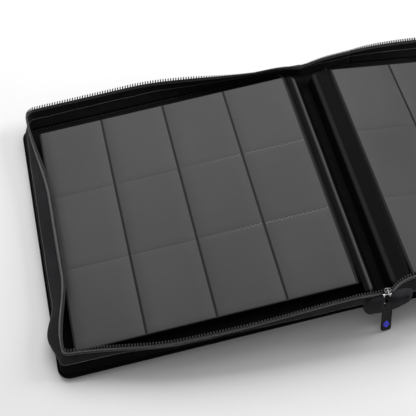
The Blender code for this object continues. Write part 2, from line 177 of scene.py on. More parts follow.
# Bundles of page margins in the gutter
BUNDLE_OUTER = 0.0249
BUNDLE_NEAR = -0.1560
BUNDLE_FAR = PAGE_HALF - 0.0006
BUNDLE_ROUNDING = 0.0060
BUNDLE_BEND_Z = 0.045

# Slider and pull
PULL_X = -0.005
SLIDER_FRONT = -0.1652
PULL_SLOPE = math.radians(14)
BAIL_LENGTH = 0.012
PULL_PIVOT = Vector((PULL_X, SLIDER_FRONT - 0.0011, 0.0502))
# The tab's rim, (inset, corner radius, depth), and its neck, (width, height, corner radius, depth)
TAB_EDGE = (
    (0.0024, 0.0016, 0.00088),
    (0.0020, 0.0018, 0.00118),
    (0.0008, 0.0022, 0.00122),
    (0.0, 0.0026, 0.00075),
)
TAB_NECK = (
    (0.0046, 0.0062, 0.0016, -0.0011),
    (0.0056, 0.0070, 0.0020, -0.0005),
    (0.0056, 0.0070, 0.0020, 0.0005),
    (0.0046, 0.0062, 0.0016, 0.0011),
)


# ---- small helpers


def smooth(x):
    """0 below 0, 1 above 1, and a smooth step between."""
    x = max(0.0, min(1.0, x))
    return x * x * (3 - 2 * x)


def bump(x, middle, half_width):
    """1 at the middle, falling smoothly to 0 at half_width from it."""
    return smooth(1 - abs(x - middle) / half_width)


def mix(a, b, share):
    return a + (b - a) * share


def from_cover(side, out, y, up):
    """The world point of a place in a cover's own frame, with the binder lying open."""
    rise = up - HINGE_RISE
    x = HINGE_X + out * math.cos(TILT) + rise * math.sin(TILT)
    return Vector((side * x, y, HINGE_Z - out * math.sin(TILT) + rise * math.cos(TILT)))


def add_object(name, data):
    piece = bpy.data.objects.new(name, data)
    bpy.context.scene.collection.objects.link(piece)
    return piece


def shade(piece, material, smooth_faces=True):
    piece.data.materials.append(material)
    for face in piece.data.polygons:
        face.use_smooth = smooth_faces
    return piece


def mesh_piece(name, verts, faces, material, smooth_faces=True):
    mesh = bpy.data.meshes.new(name)
    mesh.from_pydata([tuple(v) for v in verts], [], faces)
    mesh.update()
    return shade(add_object(name, mesh), material, smooth_faces)


def grid_faces(rows, columns, start=0, wrap=False):
    """Quads of a grid of points stored row after row. wrap joins each row's last point to its first."""
    faces = []
    for i in range(rows - 1):
        for j in range(columns if wrap else columns - 1):
            k = (j + 1) % columns
            here, above = start + i * columns, start + (i + 1) * columns
            faces.append((here + j, here + k, above + k, above + j))
    return faces


def closed_faces(rings, count, start=0):
    """Faces of a closed body whose points are stored ring after ring."""
    last = start + (rings - 1) * count
    faces = grid_faces(rings, count, start, wrap=True)
    faces.append(tuple(range(start + count - 1, start - 1, -1)))
    faces.append(tuple(range(last, last + count)))
    return faces


def attach(piece, body, slot, *replaced):
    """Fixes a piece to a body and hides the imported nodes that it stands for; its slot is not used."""
    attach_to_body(piece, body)
    if replaced:
        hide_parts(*replaced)


def flex(piece, parent, child, start, end, slot, *replaced):
    """Bakes a piece's transform into its mesh and hides the imported nodes that it stands for; parent
    and child, the two jointed bodies, and slot are not used.
    """
    if replaced:
        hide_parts(*replaced)
    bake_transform(piece)
    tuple(start)
    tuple(end)


def bake_modifiers(piece):
    """Replaces the piece's mesh with the one that its modifiers make."""
    graph = bpy.context.evaluated_depsgraph_get()
    mesh = bpy.data.meshes.new_from_object(piece.evaluated_get(graph))
    piece.modifiers.clear()
    piece.data = mesh
    return piece


def map_in_metres(piece, rows):
    """A texture map of a grid of points, in metres along and across it."""
    columns = len(rows[0])
    along = [0.0]
    for before, after in zip(rows, rows[1:]):
        along.append(along[-1] + (after[columns // 2] - before[columns // 2]).length)
    across = []
    for row in rows:
        lengths = [0.0]
        for before, after in zip(row, row[1:]):
            lengths.append(lengths[-1] + (after - before).length)
        across.append(lengths)
    layer = piece.data.uv_layers.new(name="metres")
    for loop in piece.data.loops:
        i, j = divmod(loop.vertex_index, columns)
        layer.data[loop.index].uv = (along[i], across[i][j])


def cloth_sheet(name, rows, thickness, material, back=None, painted_shade_below_fold=None):
    """A sheet of cloth through a grid of points. Its back can have its own material, and so can its part
    below the fold, where a darker one paints shade.
    """
    columns = len(rows[0])
    piece = mesh_piece(name, [p for row in rows for p in row], grid_faces(len(rows), columns), material)
    back = back or material
    for extra in (painted_shade_below_fold or material, back, back):
        piece.data.materials.append(extra)
    shade_columns = COLUMNS_BELOW_FOLD if painted_shade_below_fold else 0
    for index, face in enumerate(piece.data.polygons):
        # Faces below the fold take the given material that paints shade there
        face.material_index = 1 if index % (columns - 1) < shade_columns else 0
    map_in_metres(piece, rows)
    solid = piece.modifiers.new("thickness", "SOLIDIFY")
    solid.thickness = thickness
    solid.offset = 0.0
    solid.material_offset = 2
    solid.material_offset_rim = 0
    return bake_modifiers(piece)


def tube(name, points, radius, material, cyclic=False, sides=8):
    """A round cord or wire through the points, as a mesh."""
    data = bpy.data.curves.new(name, "CURVE")
    data.dimensions = "3D"
    data.bevel_depth = radius
    data.bevel_resolution = max(0, sides // 4 - 1)
    data.use_fill_caps = not cyclic
    spline = data.splines.new("POLY")
    spline.points.add(len(points) - 1)
    for point, place in zip(spline.points, points):
        point.co = (*place, 1.0)
    spline.use_cyclic_u = cyclic
    curve = add_object(name + "_route", data)
    graph = bpy.context.evaluated_depsgraph_get()
    mesh = bpy.data.meshes.new_from_object(curve.evaluated_get(graph))
    bpy.data.objects.remove(curve)
    mesh.name = name
    mesh.materials.clear()
    return shade(add_object(name, mesh), material)


def resample(points, pitch):
    """Places at an even pitch along a polyline: (index of the point before, share of the way on)."""
    places = []
    travelled, wanted = 0.0, pitch / 2
    for i, (a, b) in enumerate(zip(points, points[1:])):
        step = (b - a).length
        while wanted <= travelled + step:
            places.append((i, (wanted - travelled) / step))
            wanted += pitch
        travelled += step
    return places


# ---- materials


class Nodes:
    """Builds one material around its Principled shader."""

    def __init__(self, name, colour, roughness, metallic=0.0, gloss=0.12):
        self.material = bpy.data.materials.new(name)
        self.material.use_nodes = True
        self.tree = self.material.node_tree
        self.shader = self.tree.nodes["Principled BSDF"]
        sockets = ("Base Color", "Roughness", "Metallic", "Specular IOR Level")
        for socket, value in zip(sockets, ((*colour, 1.0), roughness, metallic, gloss)):
            self.shader.inputs[socket].default_value = value
        self.colour = colour
        self.heights = []

    def add(self, kind, **values):
        node = self.tree.nodes.new(kind)
        for key, value in values.items():
            if key in node.inputs:
                node.inputs[key].default_value = value
            else:
                setattr(node, key, value)
        return node

    def link(self, output, target):
        self.tree.links.new(output, target)

    def texture(self, kind, scale, coordinates="Object", stretch=(1, 1, 1), **values):
        """A texture node whose pattern has the given scale per metre."""
        source = self.add("ShaderNodeTexCoord")
        mapping = self.add("ShaderNodeMapping")
        mapping.inputs["Scale"].default_value = stretch
        self.link(source.outputs[coordinates], mapping.inputs["Vector"])
        node = self.add(kind, **values)
        node.inputs["Scale"].default_value = scale
        self.link(mapping.outputs["Vector"], node.inputs["Vector"])
        return node

    def grain(self, scale, detail, stretch=(1, 1, 1)):
        """A noise pattern of the given scale per metre."""
        kind = "ShaderNodeTexNoise"
        return self.texture(kind, scale, stretch=stretch, Detail=detail).outputs["Fac"]

    def vary_colour(self, factor, low, high):
        """The base colour runs from low to high times the base colour."""
        ramp = self.add("ShaderNodeValToRGB")
        for element, stop, gain in zip(ramp.color_ramp.elements, (0.3, 0.7), (low, high)):
            element.position = stop
            element.color = (*(c * gain for c in self.colour), 1.0)
        self.link(factor, ramp.inputs["Fac"])
        self.link(ramp.outputs["Color"], self.shader.inputs["Base Color"])

    def vary_roughness(self, factor, low, high):
        spread = self.add("ShaderNodeMapRange")
        spread.inputs["To Min"].default_value = low
        spread.inputs["To Max"].default_value = high
        self.link(factor, spread.inputs["Value"])
        self.link(spread.outputs["Result"], self.shader.inputs["Roughness"])

    def raise_by(self, factor, height):
        """Adds a bump of this height in metres."""
        bump_node = self.add("ShaderNodeBump")
        bump_node.inputs["Distance"].default_value = height
        self.link(factor, bump_node.inputs["Height"])
        if self.heights:
            self.link(self.heights[-1].outputs["Normal"], bump_node.inputs["Normal"])
        self.heights.append(bump_node)
        self.link(bump_node.outputs["Normal"], self.shader.inputs["Normal"])

    def colour_along(self, coordinates, axis, span, stops, interpolation="LINEAR"):
        """The base colour runs through the stops, (share of the span, colour), along one axis."""
        place = self.add("ShaderNodeTexCoord")
        split = self.add("ShaderNodeSeparateXYZ")
        self.link(place.outputs[coordinates], split.inputs["Vector"])
        share = self.add("ShaderNodeMapRange")
        share.inputs["From Min"].default_value, share.inputs["From Max"].default_value = span
        self.link(split.outputs[axis], share.inputs["Value"])
        ramp = self.add("ShaderNodeValToRGB")
        ramp.color_ramp.interpolation = interpolation
        self.link(share.outputs["Result"], ramp.inputs["Fac"])
        elements = ramp.color_ramp.elements
        elements[0].position, elements[1].position = stops[0][0], stops[-1][0]
        for position, _ in stops[1:-1]:
            elements.new(position)
        for element, (_, colour) in zip(elements, stops):
            element.color = (*colour, 1.0)
        self.link(ramp.outputs["Color"], self.shader.inputs["Base Color"])

    def threads(self, scale_x, scale_y, operation, coordinates="UV", distortion=0.0):
        """Two crossing sets of threads, combined, and the set that runs along the piece."""
        sets = []
        for scale, axis in ((scale_x, "X"), (scale_y, "Y")):
            kind = "ShaderNodeTexWave"
            wave = self.texture(kind, scale, coordinates, bands_direction=axis, Distortion=distortion)
            sets.append(wave.outputs["Fac"])
        both = self.add("ShaderNodeMath", operation=operation)
        for output, target in zip(sets, both.inputs):
            self.link(output, target)
        return both.outputs["Value"], sets[1]

    def sheen(self, weight):
        self.shader.inputs["Sheen Weight"].default_value = weight
        self.shader.inputs["Sheen Roughness"].default_value = 0.5


def leather():
    """Fine-grained black synthetic leather."""
    n = Nodes("cover_leather", (0.0035, 0.0035, 0.0040), 0.5, gloss=0.010)
    cells = n.texture("ShaderNodeTexVoronoi", 900.0, feature="DISTANCE_TO_EDGE")
    broad = n.grain(45.0, 4.0)
    n.vary_colour(broad, 0.8, 1.5)
    n.vary_roughness(broad, 0.4, 0.55)
    n.raise_by(cells.outputs["Distance"], 0.00035)
    n.raise_by(broad, 0.0004)
    return n.material


def woven(name, colour, pitch, depth, coordinates="UV", roughness=0.85, sheen=0.05):
    """A plain weave with threads at this pitch in metres."""
    n = Nodes(name, colour, roughness, gloss=0.015)
    crossing, _ = n.threads(0.5 / pitch, 0.5 / pitch, "MULTIPLY", coordinates, 0.6)
    n.vary_colour(n.grain(60.0, 3.0), 0.8, 1.25)
    n.raise_by(crossing, depth)
    n.sheen(sheen)
    return n.material


def ribbed_tape(name, colour):
    """Zip tape: fine ribs along the tape, a little lighter on their backs."""
    n = Nodes(name, colour, 0.62, gloss=0.05)
    both, ribs = n.threads(650.0, 900.0, "ADD")
    n.vary_colour(ribs, 0.7, 1.4)
    n.raise_by(both, 0.00012)
    n.sheen(0.5)
    return n.material


def sheet_plastic(name, colour, roughness, grain=1400.0, gloss=0.12):
    """Calendered sheet with a fine matt grain and faint cloudy patches."""
    n = Nodes(name, colour, roughness, gloss=gloss)
    fine, clouds = n.grain(grain, 2.0), n.grain(9.0, 3.0)
    n.vary_colour(clouds, 0.9, 1.12)
    n.vary_roughness(clouds, roughness - 0.05, roughness + 0.06)
    n.raise_by(fine, 0.00006)
    return n.material


def moulded(name, colour, roughness):
    """Moulded plastic or rubber with a fine spark-eroded texture and slightly worn patches."""
    n = Nodes(name, colour, roughness)
    fine, wear = n.grain(2600.0, 2.0), n.grain(140.0, 4.0)
    n.vary_colour(wear, 0.85, 1.3)
    n.vary_roughness(wear, roughness - 0.08, roughness + 0.08)
    n.raise_by(fine, 0.00006)
    return n.material


def painted_highlight_margin(name, crest, half_width, brightness):
    """Black sheet with a painted highlight along its ridge, crest metres across its texture map."""
    n = Nodes(name, (1.0, 1.0, 1.0), 0.42, gloss=0.015)
    black, pale = ((value, value, value * 1.04) for value in (0.004, brightness))
    # pale is the painted highlight, black the sheet's own colour
    stops = ((0.5 - 1 / 6, black), (0.5, pale), (0.5 + 1 / 8, black))
    n.colour_along("UV", "Y", (crest - 3 * half_width, crest + 3 * half_width), stops, "EASE")
    n.raise_by(n.grain(1000.0, 2.0), 0.00006)
    return n.material


def weld_dots_painted_highlight():
    """Weld dots in the film, with a painted highlight near the gutter of the left cover and dull
    elsewhere.
    """
    n = Nodes("pocket_weld_painted_highlight", (1.0, 1.0, 1.0), 0.4)
    dull, bright = (0.020, 0.020, 0.021), (0.30, 0.30, 0.30)
    # bright is the painted highlight, dull the dots' own colour
    stops = ((0.14, dull), (0.28, bright), (0.44, bright), (0.54, dull))
    n.colour_along("Object", "X", (-0.25, 0.25), stops)
    return n.material


def metal(name, brightness):
    """Plated metal with fine scratches."""
    n = Nodes(name, (brightness, brightness, brightness * 1.02), 0.2, 1.0, gloss=0.5)
    scratches = n.grain(900.0, 3.0, (1, 1, 0.12))
    n.vary_roughness(scratches, 0.14, 0.36)
    n.raise_by(scratches, 0.00002)
    return n.material


def cardboard():
    n = Nodes("stiff_board", (0.13, 0.11, 0.09), 0.85)
    fibres = n.grain(500.0, 5.0, (1, 0.25, 1))
    n.vary_colour(fibres, 0.7, 1.35)
    n.raise_by(fibres, 0.00015)
    return n.material


LEATHER = leather()
GUSSET = woven("gusset_fabric", (0.020, 0.020, 0.022), 0.0006, 0.00022, sheen=0.06)
LINING = woven("lining_fabric", (0.004, 0.004, 0.0045), 0.0005, 0.00012, "Object", 0.8, 0.03)
WALL_INSIDE = woven("gusset_inside", (0.006, 0.006, 0.007), 0.0006, 0.00018)
# A darker copy of the gusset fabric: painted shade on the far lug
SHADED_GUSSET = woven("gusset_fabric_painted_shade", (0.010, 0.010, 0.011), 0.0006, 0.00020)
TAPE = ribbed_tape("zip_tape", (0.030, 0.030, 0.032))
# The cords are real; their paler grey than the tape is a painted highlight along the tape's edge and the
# fold
PIPING_PAINTED_HIGHLIGHT = ribbed_tape("zip_cord_painted_highlight", (0.090, 0.090, 0.094))
TEETH = moulded("zip_teeth", (0.048, 0.048, 0.050), 0.38)
CORE = sheet_plastic("page_core", (0.004, 0.004, 0.0045), 0.5)
FILM = sheet_plastic("pocket_film", (0.052, 0.052, 0.0535), 0.42)
# Weld dots with a painted highlight near the gutter of the left cover
WELD = weld_dots_painted_highlight()
MARGIN = sheet_plastic("page_margin", (0.005, 0.005, 0.0055), 0.45, 1000.0, 0.02)
# Margin bundles with painted highlights along their ridges
FRONT_MARGIN = painted_highlight_margin("front_margin", 0.0076, 0.0040, 0.060)
BACK_MARGIN = painted_highlight_margin("back_margin", 0.0195, 0.0044, 0.022)
METAL = metal("slider_metal", 0.82)
DARK_METAL = metal("slider_body", 0.20)
RUBBER = moulded("pull_rubber", (0.017, 0.017, 0.019), 0.6)
MARK = moulded("pull_mark", (0.085, 0.085, 0.78), 0.5)
THREAD = woven("stitch_thread", (0.020, 0.020, 0.022), 0.0003, 0.0001, "Object", 0.7, 0.3)
BOARD = cardboard()


# ---- camera, floor and light


def make_camera():
    """Looks down on the left half and the spine, from above the near edge."""
    data = bpy.data.cameras.new("camera")
    data.sensor_width = 36
    data.lens = 89.05
    camera = add_object("camera", data)
    camera.location = (-0.2945, -0.6521, 0.9121)
    camera.rotation_euler = (math.radians(36.7), 0, math.radians(-12.5))
    bpy.context.scene.camera = camera


def make_floor():
    bm = bmesh.new()
    bmesh.ops.create_grid(bm, x_segments=2, y_segments=2, size=6.0)
    mesh = bpy.data.meshes.new("floor")
    bm.to_mesh(mesh)
    bm.free()
    n = Nodes("floor", (0.80, 0.80, 0.80), 0.9)
    n.vary_colour(n.grain(3.0, 2.0), 0.99, 1.01)
    shade(add_object("floor", mesh), n.material)


def area_light(name, place, target, size, power):
    data = bpy.data.lights.new(name, "AREA")
    data.shape = "RECTANGLE"
    data.size, data.size_y = size
    data.energy = power
    light = add_object(name, data)
    light.location = place
    aim = Vector(target) - Vector(place)
    light.rotation_euler = aim.to_track_quat("-Z", "Y").to_euler()


def make_lights():
    """A broad soft light from behind, a smaller one from the right, and a pale room."""
    area_light("key", (-0.05, 1.35, 1.50), (-0.1, 0, 0), (2.0, 1.2), 34)
    area_light("side", (1.6, 0.35, 0.95), (-0.1, 0, 0), (0.9, 0.9), 24)
    world = bpy.data.worlds.new("room")
    world.use_nodes = True
    background = world.node_tree.nodes["Background"]
    background.inputs["Color"].default_value = (1, 1, 1, 1)
    background.inputs["Strength"].default_value = 0.40
    bpy.context.scene.world = world
    bpy.context.scene.view_settings.view_transform = "Standard"


# ---- covers, linings and spine


def cover_plan(inset):
    """Points (out, y) round three edges of a cover at this inset, from its near hinge end on."""
    corner = max(COVER_CORNER - inset, 0.002)
    half = COVER_LENGTH / 2 - inset
    reach = COVER_REACH - inset
    points = [(mix(COVER_START, reach - corner, i / 12), -half) for i in range(12)]
    for i in range(9):
        angle = math.radians(90) * (i / 8 - 1)
        points.append(
            (reach - corner + corner * math.cos(angle), -half + corner + corner * math.sin(angle))
        )
    points += [(reach, mix(-half + corner, 0, i / 8)) for i in range(1, 9)]
    return points + [(out, -y) for out, y in points[-2::-1]]


def make_cover_shell(side, label):
    """Leather turned round the cover's edge, with a sewn border outside and the turn-in on top."""
    loops = [
        [from_cover(side, out, y, up) for out, y in cover_plan(inset)]
        for inset, up in COVER_EDGE_PROFILE
    ]
    columns = len(loops[0])
    faces = grid_faces(len(loops), columns)
    faces.append(tuple(range(columns)))
    shell = mesh_piece(f"{label}_cover_shell", [p for loop in loops for p in loop], faces, LEATHER)
    attach(shell, f"{label}_cover", "cover_leather", f"{label}_cover_skin")


def stitches(name, points, normal, body):
    """A row of thread stitches that lie along the points, proud of a surface with this normal."""
    pitch, length, radius = 0.0042, 0.0028, 0.00022
    rings = ((-0.5, 0.3, -0.6), (-0.3, 1.0, 0.7), (0.3, 1.0, 0.7), (0.5, 0.3, -0.6))
    verts, faces = [], []
    for i, share in resample(points, pitch):
        middle = mix(points[i], points[i + 1], share)
        along = (points[i + 1] - points[i]).normalized()
        across = along.cross(normal).normalized()
        start = len(verts)
        for step, girth, lift in rings:
            centre = middle + along * (length * step) + normal * (radius * lift)
            for k in range(5):
                angle = 2 * math.pi * k / 5
                turn = across * math.cos(angle) + normal * math.sin(angle)
                verts.append(centre + turn * (radius * girth))
        faces += closed_faces(4, 5, start)
    attach(mesh_piece(name, verts, faces, THREAD), body, "cover_leather")


def make_cover_stitches(side, label):
    """The seam round three edges, seen on the outside and on the turn-in."""
    normal = Vector((side * math.sin(TILT), 0, math.cos(TILT)))
    for face, facing in (("outside", -normal), ("inside", normal)):
        level = COVER_SEAM_LEVELS[face]
        route = [from_cover(side, out, y, level) for out, y in cover_plan(COVER_SEAM_INSET)]
        stitches(f"{label}_cover_seam_{face}", route, facing, f"{label}_cover")


def finish_flat_pieces():
    """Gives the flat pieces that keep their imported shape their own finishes."""
    finishes = {"lining": LINING, "board": BOARD, "spine_skin": LEATHER, "page_": CORE}
    for name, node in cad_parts.items():
        for key, material in finishes.items():
            if key in name and "gusset" not in name and node.type == "MESH":
                node.data.materials.clear()
                node.data.materials.append(material)


def make_hinge(side, label):
    """The flexible strip of leather between spine and cover, with a pressed groove along it."""
    inner = Vector((side * (SPINE_HALF_WIDTH + 0.0001), 0, SPINE_UNDERSIDE + 0.0004))
    outer = from_cover(side, COVER_START + 0.0002, 0, 0.0004)
    half = COVER_LENGTH / 2
    steps, stations = 20, 32
    profile = []
    for i in range(steps + 1):
        share = i / steps
        groove = 0.0011 * bump(share, 0.5, 0.42)
        profile.append(mix(inner, outer, share) + Vector((0, 0, groove)))
    rows = []
    for j in range(stations + 1):
        y = mix(-half, half, j / stations)
        rows.append([Vector((place.x, y, place.z)) for place in profile])
    strip = cloth_sheet(f"{label}_hinge_leather", rows, 0.0008, LEATHER)
    flex(strip, "spine", f"{label}_cover", inner, outer, "cover_leather", f"{label}_hinge_strip")


# ---- gusset walls and zip


def run_lean(end, side, out):
    """How far the tape's top leans outwards from the foot, on the near and far runs."""
    if end < 0:
        lean = 0.0030 * bump(out, 0.130, 0.120) - 0.0165 * smooth((out - 0.190) / 0.125)
        if side > 0:
            return lean - 0.0125 * smooth((0.160 - out) / 0.100)
        return lean
    if side > 0:
        return -0.0105 + 0.0240 * (1 - math.exp(-out / 0.047))
    return -0.0105 + 0.0252 * smooth(out / 0.185)


def fore_lean(y):
    """The same on the fore run, which folds in over the pages' edge between its two corners."""
    return -0.009 - 0.0122 * smooth((0.150 - y) / 0.110) * smooth((y + 0.145) / 0.085)


def fold_share(end, out):
    """How far up from foot to tape the seam runs on the near and far runs: 0 to 1."""
    if end > 0:
        return 0.45
    share = 0.25 + 0.55 * smooth((out - 0.030) / 0.130)
    return share - 0.26 * smooth((out - 0.225) / 0.080)


def fore_fold(y):
    """(outward offset, up) of the seam on the fore run, where the wall swells near its near corner."""
    swell = 0.0098 * bump(y, -0.122, 0.038)
    pinch = 0.0012 * smooth((y - 0.09) / 0.06)
    return -0.0048 + swell - pinch, 0.0150 - 0.002 * bump(y, 0.10, 0.05)


def wall_plan(side, end, s):
    """A wall in plan, s metres from its end: foot, tape top, normal, share of the corner, out and y."""
    half_in = TURN_Y + FOOT_CORNER
    crest_corner = CREST_CORNERS[end]
    crest_out = COVER_REACH - WALL_INSET + fore_lean(end * TURN_Y) - crest_corner
    crest_y = half_in + run_lean(end, side, TURN_OUT) - crest_corner
    if s < SIDE_RUN:
        out = SPLIT_START + s
        foot = Vector((out, end * half_in, 0))
        top_out = mix(SPLIT_START, crest_out, s / SIDE_RUN)
        top = Vector((top_out, end * (half_in + run_lean(end, side, out)), 0))
        return foot, top, Vector((0, end, 0)), 0.0, out, end * half_in
    if s < SIDE_RUN + CORNER_RUN:
        share = (s - SIDE_RUN) / CORNER_RUN
        angle = math.radians(90) * (1 - share)
        normal = Vector((math.cos(angle), end * math.sin(angle), 0))
        foot = Vector((TURN_OUT, end * TURN_Y, 0)) + normal * FOOT_CORNER
        top = Vector((crest_out, end * crest_y, 0)) + normal * crest_corner
        return foot, top, normal, share, TURN_OUT, end * TURN_Y
    y = end * (WALL_LENGTH / 2 - s)
    foot = Vector((TURN_OUT + FOOT_CORNER, y, 0))
    top = Vector((COVER_REACH - WALL_INSET + fore_lean(y), y * crest_y / TURN_Y, 0))
    return foot, top, Vector((1, 0, 0)), 1.0, TURN_OUT, y


def wall_section(side, s):
    """Foot, bend, tape base and tape top of a wall, in the cover's frame, s metres along its foot."""
    end = -1 if s <= WALL_LENGTH / 2 else 1
    foot, top, normal, corner_share, out, y = wall_plan(side, end, min(s, WALL_LENGTH - s))
    offset, up = fore_fold(y)
    fore_bend = foot + normal * offset + Vector((0, 0, up))
    foot = foot - normal * FOOT_OVERLAP + Vector((0, 0, FOOT_UP))
    top_up = TAPE_TOP_UP if end < 0 else mix(FAR_TOP_UP, TAPE_TOP_UP, corner_share)
    top = top + Vector((0, 0, top_up))
    run_bend = mix(foot, top, fold_share(end, out)) + normal * RUN_SWELL
    bend = mix(run_bend, fore_bend, smooth(corner_share))
    return foot, bend, top - (top - bend).normalized() * TAPE_WIDTH, top


def arc(start, end, leave, arrive, share):
    """A point of the curve from start to end that leaves and arrives along the given vectors."""
    a, b = share, 1 - share
    points = (start, start + leave / 3, end - arrive / 3, end)
    weights = (b**3, 3 * a * b * b, 3 * a * a * b, a**3)
    return sum((p * w for p, w in zip(points, weights)), Vector())


def wall_curve(foot, bend, base):
    """Points from the foot to the tape's base, on a smooth curve that passes the bend half-way."""
    through = (base - foot).normalized()
    lower, upper = bend - foot, base - bend
    half = SECTION_STEPS // 2
    points = [arc(foot, bend, lower, through * lower.length, i / half) for i in range(half)]
    points += [arc(bend, base, through * upper.length, upper, i / half) for i in range(half + 1)]
    return points


def ripple(place, v, height):
    """A soft crease pattern that dies out at both edges of the cloth, along and across a wall."""
    weight = 4 * v * (1 - v)
    long_folds = noise.noise(Vector((place.x * 16, place.y * 16, v * 1.5)))
    short_folds = noise.noise(Vector((place.x * 60, place.y * 60, v * 3 + 5)))
    return height * weight * (long_folds + 0.35 * short_folds)


def cover_place(side, p):
    return from_cover(side, p.x, p.y, p.z)


def wall_rows(side):
    """Creased rows of a wall's cloth, each with its tape's base and top, in the world."""
    for i in range(WALL_STATIONS + 1):
        foot, bend, base, top = wall_section(side, WALL_LENGTH * i / WALL_STATIONS)
        outwards = Vector((bend.x - COVER_MIDDLE, bend.y, 0)).normalized() + Vector((0, 0, 0.6))
        row = []
        for j, point in enumerate(wall_curve(foot, bend, base)):
            lift = ripple(point, j / SECTION_STEPS, RIPPLE_HEIGHT)
            row.append(cover_place(side, point + outwards * lift))
        yield row, cover_place(side, base), cover_place(side, top)


def outer_edge(bases, tops, side):
    """The tape's top edge, moved to the tape's outer face."""
    middle = Vector((side * 0.18, 0, 0))
    route = []
    for i, (base, top) in enumerate(zip(bases, tops)):
        along = tops[min(i + 1, len(tops) - 1)] - tops[max(i - 1, 0)]
        normal = along.cross(top - base).normalized()
        if normal.dot(top - middle) < 0:
            normal = -normal
        route.append(top + normal * 0.0007 - (top - base).normalized() * 0.0008)
    return route


def make_seam(name, rows):
    """The cord sewn in along the fold of a wall or wing."""
    return tube(name, [row[COLUMNS_BELOW_FOLD] for row in rows], SEAM_RADIUS, PIPING_PAINTED_HIGHLIGHT)


def make_zip(label, kinds, bases, tops, side):
    """The zip tape, the teeth on its edge, and the cord that holds them."""
    names = [f"{label}_{kind}" for kind in kinds]
    tape_rows = [[mix(a, b, k / 4) for k in range(5)] for a, b in zip(bases, tops)]
    tape = cloth_sheet(names[0], tape_rows, TAPE_THICKNESS, TAPE)
    teeth = zip_teeth(names[1], bases, tops)
    return tape, teeth, tube(names[2], outer_edge(bases, tops, side), TOOTH_CORD_RADIUS, PIPING_PAINTED_HIGHLIGHT)


def zip_teeth(name, bases, tops):
    """A row of moulded teeth on the tape's edge. The outline and the slices are in millimetres."""
    outline = ((-0.7, -0.75), (2.3, -0.8), (3.1, -0.4), (3.1, 0.4), (2.3, 0.8), (-0.7, 0.75))
    slices = ((-0.70, 0.72), (-0.50, 1.0), (0.50, 1.0), (0.70, 0.72))
    verts, faces = [], []
    for i, share in resample(tops, TOOTH_PITCH):
        place = mix(tops[i], tops[i + 1], share)
        along = (tops[i + 1] - tops[i]).normalized()
        outwards = (place - mix(bases[i], bases[i + 1], share)).normalized()
        across = along.cross(outwards).normalized()
        start = len(verts)
        for shift, girth in slices:
            for reach, height in outline:
                out = 0.8 + (reach - 0.8) * girth
                local = along * shift + outwards * out + across * (height * girth)
                verts.append(place + local * 0.001)
        faces += closed_faces(4, 6, start)
    return mesh_piece(name, verts, faces, TEETH, smooth_faces=False)


def make_wall(side, label):
    """One cover's gusset wall, the seam cord along its fold, its zip tape and its teeth."""
    body = f"{label}_cover"
    rows, bases, tops = zip(*wall_rows(side))
    outward_rows = rows[::-1] if side > 0 else rows
    # The wall's lower half, from foot to fold, takes the near-black leather as painted shade
    wall = cloth_sheet(
        f"{label}_wall_cloth", outward_rows, CLOTH_THICKNESS, GUSSET, WALL_INSIDE, LEATHER
    )
    seam = make_seam(f"{label}_wall_piping", rows)
    kinds = ("tape_cloth", "teeth", "teeth_cord")
    tape, teeth, cord = make_zip(label, kinds, bases, tops, side)
    attach(wall, body, "gusset_fabric", f"{label}_gusset")
    attach(seam, body, "gusset_fabric")
    attach(tape, body, "zip_tape", f"{label}_zip_tape")
    attach(teeth, body, "zip_teeth", f"{label}_zip_chain")
    attach(cord, body, "zip_teeth")


def wing_section(side, end, inner_x, ease, share):
    """Foot, bend, tape base and tape top of a wing, in the world, at a share of the way inwards."""
    start = wall_section(side, 0.0 if end < 0 else WALL_LENGTH)
    foot, bend, _, top = (cover_place(side, p) for p in start)
    dip = smooth((share - WING_LEVEL_SHARE) / (1 - WING_LEVEL_SHARE))
    moved = []
    for place, (goal_y, goal_z) in zip((foot, bend, top), WING_GOALS[end]):
        x = mix(place.x, side * inner_x, share)
        level = place.z + abs(place.x - x) * math.tan(TILT)
        moved.append(Vector((x, mix(place.y, goal_y, share**ease), mix(level, goal_z, dip))))
    foot, bend, top = moved
    return foot, bend, top - (top - bend).normalized() * TAPE_WIDTH, top


def wing_rows(side, label, end, end_label):
    """Creased rows of a wing's cloth on its way inwards, each with its tape's base and top."""
    inner_x, ease = WING_REACH[end_label, label]
    for i in range(WING_STATIONS + 1):
        foot, bend, base, top = wing_section(side, end, inner_x, ease, i / WING_STATIONS)
        height = RIPPLE_HEIGHT * smooth(i / 6)
        row = []
        for j, point in enumerate(wall_curve(foot, bend, base)):
            row.append(point + Vector((0, end, 0.6)) * ripple(point, j / SECTION_STEPS, height))
        yield row, base, top


def make_wing(side, label, end, end_label):
    """The gusset, tape and teeth between a cover's wall and the end of the spine."""
    name = f"{end_label}_{label}_wing"
    rows, bases, tops = zip(*wing_rows(side, label, end, end_label))
    outward_rows = rows[::-1] if side * end > 0 else rows
    # The wing's lower half, from foot to fold, takes the near-black leather as painted shade
    wing = cloth_sheet(f"{name}_cloth", outward_rows, CLOTH_THICKNESS, GUSSET, WALL_INSIDE, LEATHER)
    trims = [*make_zip(name, ("tape", "teeth", "cord"), bases, tops, side)]
    trims.append(make_seam(f"{name}_seam", rows))
    places = [Vector((side * x, 0, WING_BEND_Z)) for x in WING_BEND_X]
    joint = ("spine", f"{label}_cover", *places)
    flex(wing, *joint, "gusset_fabric", name)
    for piece, slot in zip(trims, ("zip_tape", "zip_teeth", "zip_teeth", "gusset_fabric")):
        flex(piece, *joint, slot)


# ---- lugs at the ends of the spine


def lug_depth(x, lobes):
    """How far the lobes stand out at x."""
    depths = [0.0]
    for middle, half_width, depth in lobes:
        depths.append(max(0.0, 1 - abs((x - middle) / half_width) ** 4) ** 0.5 * depth)
    return max(depths)


def rounded_power(x):
    """Turns a sine or cosine into one of a rounded box."""
    return math.copysign(abs(x) ** 0.6, x)


